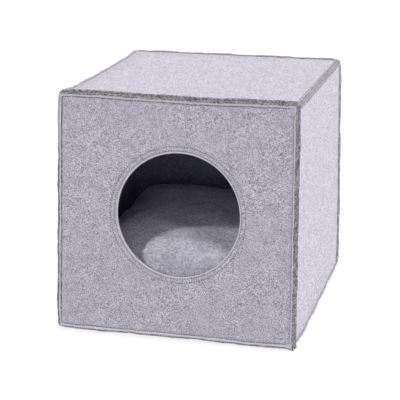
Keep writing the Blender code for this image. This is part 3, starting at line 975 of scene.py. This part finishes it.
def felt_material():
    """Needle felt: matted grey fibres of several shades, with a dull nap and darker raw edges."""
    n = Nodes("grey_felt")
    here = n.place()
    wander = n.new("ShaderNodeTexNoise", {"Vector": here, "Scale": 190.0, "Detail": 2.0})
    drift = n.vector("SUBTRACT", {0: wander.outputs["Color"], 1: (0.5, 0.5, 0.5)}).outputs[0]
    drift = n.vector("SCALE", {0: drift, "Scale": 0.007}).outputs[0]
    blotch = n.noise(here, 78.0, 3.0, 0.5)
    cloud = n.noise(here, 160.0, 2.0, 0.55)
    heather = n.noise(here, 580.0, 2.0, 0.6)
    grain = n.noise(here, 1000.0, 2.0, 0.6)
    fibre_a = n.noise(n.place((170, 1300, 900), (0.4, 0.7, 0.5), drift), 1.0, 1.0, 0.5)
    fibre_b = n.noise(n.place((1250, 190, 980), (0.9, -0.5, 1.1), drift), 1.0, 1.0, 0.5)
    fibre_c = n.noise(n.place((950, 1200, 180), (-0.6, 0.8, 0.3), drift), 1.0, 1.0, 0.5)
    pale = n.spread(n.math("MAXIMUM", fibre_a, fibre_b), 0.60, 0.74)
    dark = n.spread(n.math("MINIMUM", n.math("MINIMUM", fibre_a, fibre_b), fibre_c), 0.40, 0.22)
    tuft = n.noise(n.place((520, 140, 520)), 1.0, 2.0, 0.7)

    # Flecked panels show tufts, and a little less of the rest.
    tone = n.math("ADD", n.weighted((heather, 1.0), (grain, 3.1), (cloud, 0.12), (blotch, 0.32), middle=0.5),
                  n.weighted((pale, 0.10), (dark, -0.58)))
    flecked = n.attribute("flecked")
    tone = n.math("MULTIPLY", tone, n.math("SUBTRACT", 1.0, n.math("MULTIPLY", flecked, 0.25)))
    tufts = n.math("MULTIPLY", n.weighted((tuft, 1.2), middle=0.5), flecked)
    tone = n.weighted((tone, 1.0), (tufts, 1.0), plus=0.53)
    level = n.mix(n.spread(tone, 0.0, 0.5), FELT_DARK, FELT_MIDDLE)
    level = n.mix(n.spread(tone, 0.5, 1.0), level, FELT_LIGHT)
    shade = n.mix(n.spread(n.noise(here, 120.0, 2.0), 0.42, 0.62), grey(1.0, LAVENDER), grey(1.0, ROSE))
    base = n.mix(1.0, level, shade, "MULTIPLY")

    colour = n.mix(n.attribute("inside"), base, n.mix(1.0, base, grey(1.0, FELT_INSIDE), "MULTIPLY"))
    # Painted light: lighter felt beside creases, on the fins, at the entry's edge, between its rings and near the
    # front seams.
    colour = n.marked("pressed", 0.80, colour, FELT_PAINTED_LIGHT)
    raw_tone = n.weighted((heather, 3.4), (grain, 1.8), (cloud, 1.4), middle=0.5, plus=0.42)
    colour = n.mix(n.attribute("cut"), colour, n.mix(raw_tone, RAW_DARK, RAW_LIGHT))
    # Painted shade in creases, along some fins' edges, beside some seams and on the entry's inner wall.
    gaps = n.spread(n.noise(here, 280.0, 2.0, 0.6), 0.42, 0.58, 0.25, 1.3)
    colour = n.marked("crease", n.math("MULTIPLY", gaps, 0.75), colour, FELT_PAINTED_SHADE)
    # Stitch holes, and painted shade in the dimples that the entry's stitching pulls in.
    colour = n.marked("ring", 0.72, colour, STITCH_HOLES_AND_SHADE)
    relief = n.weighted((heather, 0.9), (grain, 0.5), (pale, 0.25), (dark, -0.25), (cloud, 0.35), (blotch, 0.9))
    return n.surface(colour, relief, 0.8, 0.0010, n.spread(heather, 0.3, 0.7, 0.88, 1.0), 0.18, 0.08, 0.55)


def cushion_material():
    """Short-pile cover of the cushion: soft, clumped a little by use, paler than the felt."""
    n = Nodes("cushion_fleece")
    here = n.place()
    blotch = n.noise(here, 30.0, 3.0, 0.6)
    clump = n.noise(here, 110.0, 2.0, 0.6, 0.6)
    heather = n.noise(here, 360.0, 2.0, 0.6)
    pile = n.noise(here, 900.0, 2.0, 0.6)
    tone = n.weighted((heather, 2.1), (pile, 2.6), (blotch, 1.2), (clump, 1.1), middle=0.5, plus=0.5)
    relief = n.weighted((heather, 0.8), (pile, 0.4), (blotch, 2.0), (clump, 1.5))
    return n.surface(n.mix(tone, COVER_DARK, COVER_LIGHT), relief, 0.8, 0.0018, n.spread(pile, 0.3, 0.7, 0.9, 1.0),
                     0.15, 0.12, 0.5)


def thread_material(name, dark, light):
    n = Nodes(name)
    twist = n.noise(n.place(), 1900.0, 1.0)
    colour = n.mix(n.spread(twist, 0.3, 0.7), grey(dark), grey(light))
    return n.surface(colour, twist, 0.4, 0.0003, 0.75, 0.25)


# ---------------------------------------------------------------- the pieces


def place(item, material, slot, *nodes):
    item.data.materials.append(material)
    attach(item, "root")
    if nodes:
        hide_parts(*nodes)
    return item


felt = felt_material()
for face in NORMAL:
    item = front_panel() if face == "front" else square_panel(face)
    place(item, felt, "felt", "panel_" + face)
place(seam_stitches(), thread_material("seam_thread_grey", 0.035, 0.10), "felt")
place(ring_stitches(), thread_material("entry_thread_grey", 0.07, 0.15), "felt")
cushion = place(filled_cushion(), cushion_material(), "cushion_cover", "cushion")

# ---------------------------------------------------------------- floor, light and camera

FLOOR_RADII, FLOOR_SIDES, FLOOR_DROP = (0.7, 3.0, 5.5), 48, 0.0002
SWEEP_START, SWEEP_BEND, SWEEP_HEIGHT = 7.9, 1.2, 1.75  # the floor turns up to a low wall all round, far away
SWEEP_STEPS = 6
FLOOR_WHITE = 0.20
FLOOR_GLOW, FLOOR_GLOW_FAR = 0.80, 0.86
SWEEP_GLOW = 0.06               # the wall glows this much more
WORLD_LIGHT = 0.05
AIM = Vector((0.0, 0.0, 0.17))
WARM = (1.0, 0.985, 1.03)
# name, azimuth from the entry side toward +X, elevation, distance, size, irradiance at the box, colour
LIGHTS = (
    ("front_left_light", -23, 42, 6.0, 0.46, 0.325, WARM),
    ("front_right_light", 32, 44, 6.0, 0.90, 0.055, WARM),
    ("fill_light", 8, 29, 6.0, 3.90, 0.08, WARM),
    ("top_light", 60, 88, 5.0, 3.30, 0.52, (1.0, 1.0, 1.0)),
    ("right_light", 88, 22, 6.0, 3.20, 0.94, (1.0, 1.0, 1.0)),
    ("left_light", -100, 30, 6.0, 3.20, 0.27, (1.0, 1.0, 1.0)),
    ("back_light", 180, 40, 6.0, 3.20, 0.38, (1.0, 1.0, 1.0)),
)
CAMERA_PLACE = (0.4513, -1.9159, 0.6702)
CAMERA_AZIMUTH, CAMERA_ELEVATION, CAMERA_ROLL = 13.54, 14.89, -0.52
CAMERA_FOCAL_PX, FRAME_PX = 1420.0, 400.0


def make_floor():
    """A plain pale floor. It glows a little, and more so far away, so that the sweep stays white to its end."""
    profile = [(radius, 0.0) for radius in FLOOR_RADII]
    for step in range(SWEEP_STEPS + 1):
        turn = math.pi / 2 * step / SWEEP_STEPS
        profile.append((SWEEP_START + SWEEP_BEND * math.sin(turn), SWEEP_BEND * (1 - math.cos(turn))))
    profile.append((SWEEP_START + SWEEP_BEND, SWEEP_HEIGHT))
    turns = [2 * math.pi * k / FLOOR_SIDES for k in range(FLOOR_SIDES)]
    points = [(radius * math.cos(turn), radius * math.sin(turn), height) for radius, height in profile
              for turn in turns]
    rings = numbered(len(points), FLOOR_SIDES)
    mesh = bpy.data.meshes.new("floor")
    mesh.from_pydata(points, [], [rings[0], *strips(rings)])
    mesh.shade_smooth()
    item = linked("floor", mesh)
    item.location.z = -FLOOR_DROP
    n = Nodes("pale_floor")
    far = n.vector("LENGTH", {0: n.object_place()}).outputs["Value"]
    glow = n.math("ADD", n.spread(far, 0.5, 3.0, FLOOR_GLOW, FLOOR_GLOW_FAR),
                  n.spread(far, 4.5, SWEEP_START, 0.0, SWEEP_GLOW))
    n.put(n.shader, {"Emission Strength": glow, "Emission Color": grey(1.0), "Base Color": grey(FLOOR_WHITE),
                     "Roughness": 1.0, "Specular IOR Level": 0.0})
    mesh.materials.append(n.material)


def make_lights():
    world = bpy.data.worlds.new("studio")
    bpy.context.scene.world = world
    world.use_nodes = True
    sky = world.node_tree.nodes["Background"].inputs
    sky["Color"].default_value = (1, 1, 1, 1)
    sky["Strength"].default_value = WORLD_LIGHT
    for name, azimuth, elevation, distance, size, strength, colour in LIGHTS:
        a, e = math.radians(azimuth), math.radians(elevation)
        back = Vector((math.sin(a) * math.cos(e), -math.cos(a) * math.cos(e), math.sin(e)))
        data = bpy.data.lights.new(name, "AREA")
        data.shape = "DISK"
        data.size = size
        data.color = colour
        # A disk of this power gives this irradiance on a face turned to it from that far away.
        data.energy = strength * math.pi ** 2 * (distance ** 2 + size ** 2 / 4)
        item = linked(name, data)
        item.location = AIM + back * distance
        item.rotation_euler = back.to_track_quat("Z", "Y").to_euler()


def make_camera():
    a, e, roll = (math.radians(x) for x in (CAMERA_AZIMUTH, CAMERA_ELEVATION, CAMERA_ROLL))
    forward = Vector((-math.sin(a) * math.cos(e), math.cos(a) * math.cos(e), -math.sin(e)))
    right = forward.cross(Vector((0, 0, 1))).normalized()
    down = forward.cross(right)
    across = right * math.cos(roll) + down * math.sin(roll)
    along = down * math.cos(roll) - right * math.sin(roll)
    data = bpy.data.cameras.new("camera")
    data.sensor_width = 36.0
    data.lens = CAMERA_FOCAL_PX / FRAME_PX * data.sensor_width
    data.clip_start, data.clip_end = 0.05, 50.0
    item = linked("camera", data)
    turn = Matrix((across, -along, -forward)).transposed().to_4x4()
    item.matrix_world = Matrix.Translation(CAMERA_PLACE) @ turn
    bpy.context.scene.camera = item


make_floor()
make_lights()
make_camera()
bpy.context.scene.view_settings.view_transform = "Standard"

bpy.context.view_layer.update()
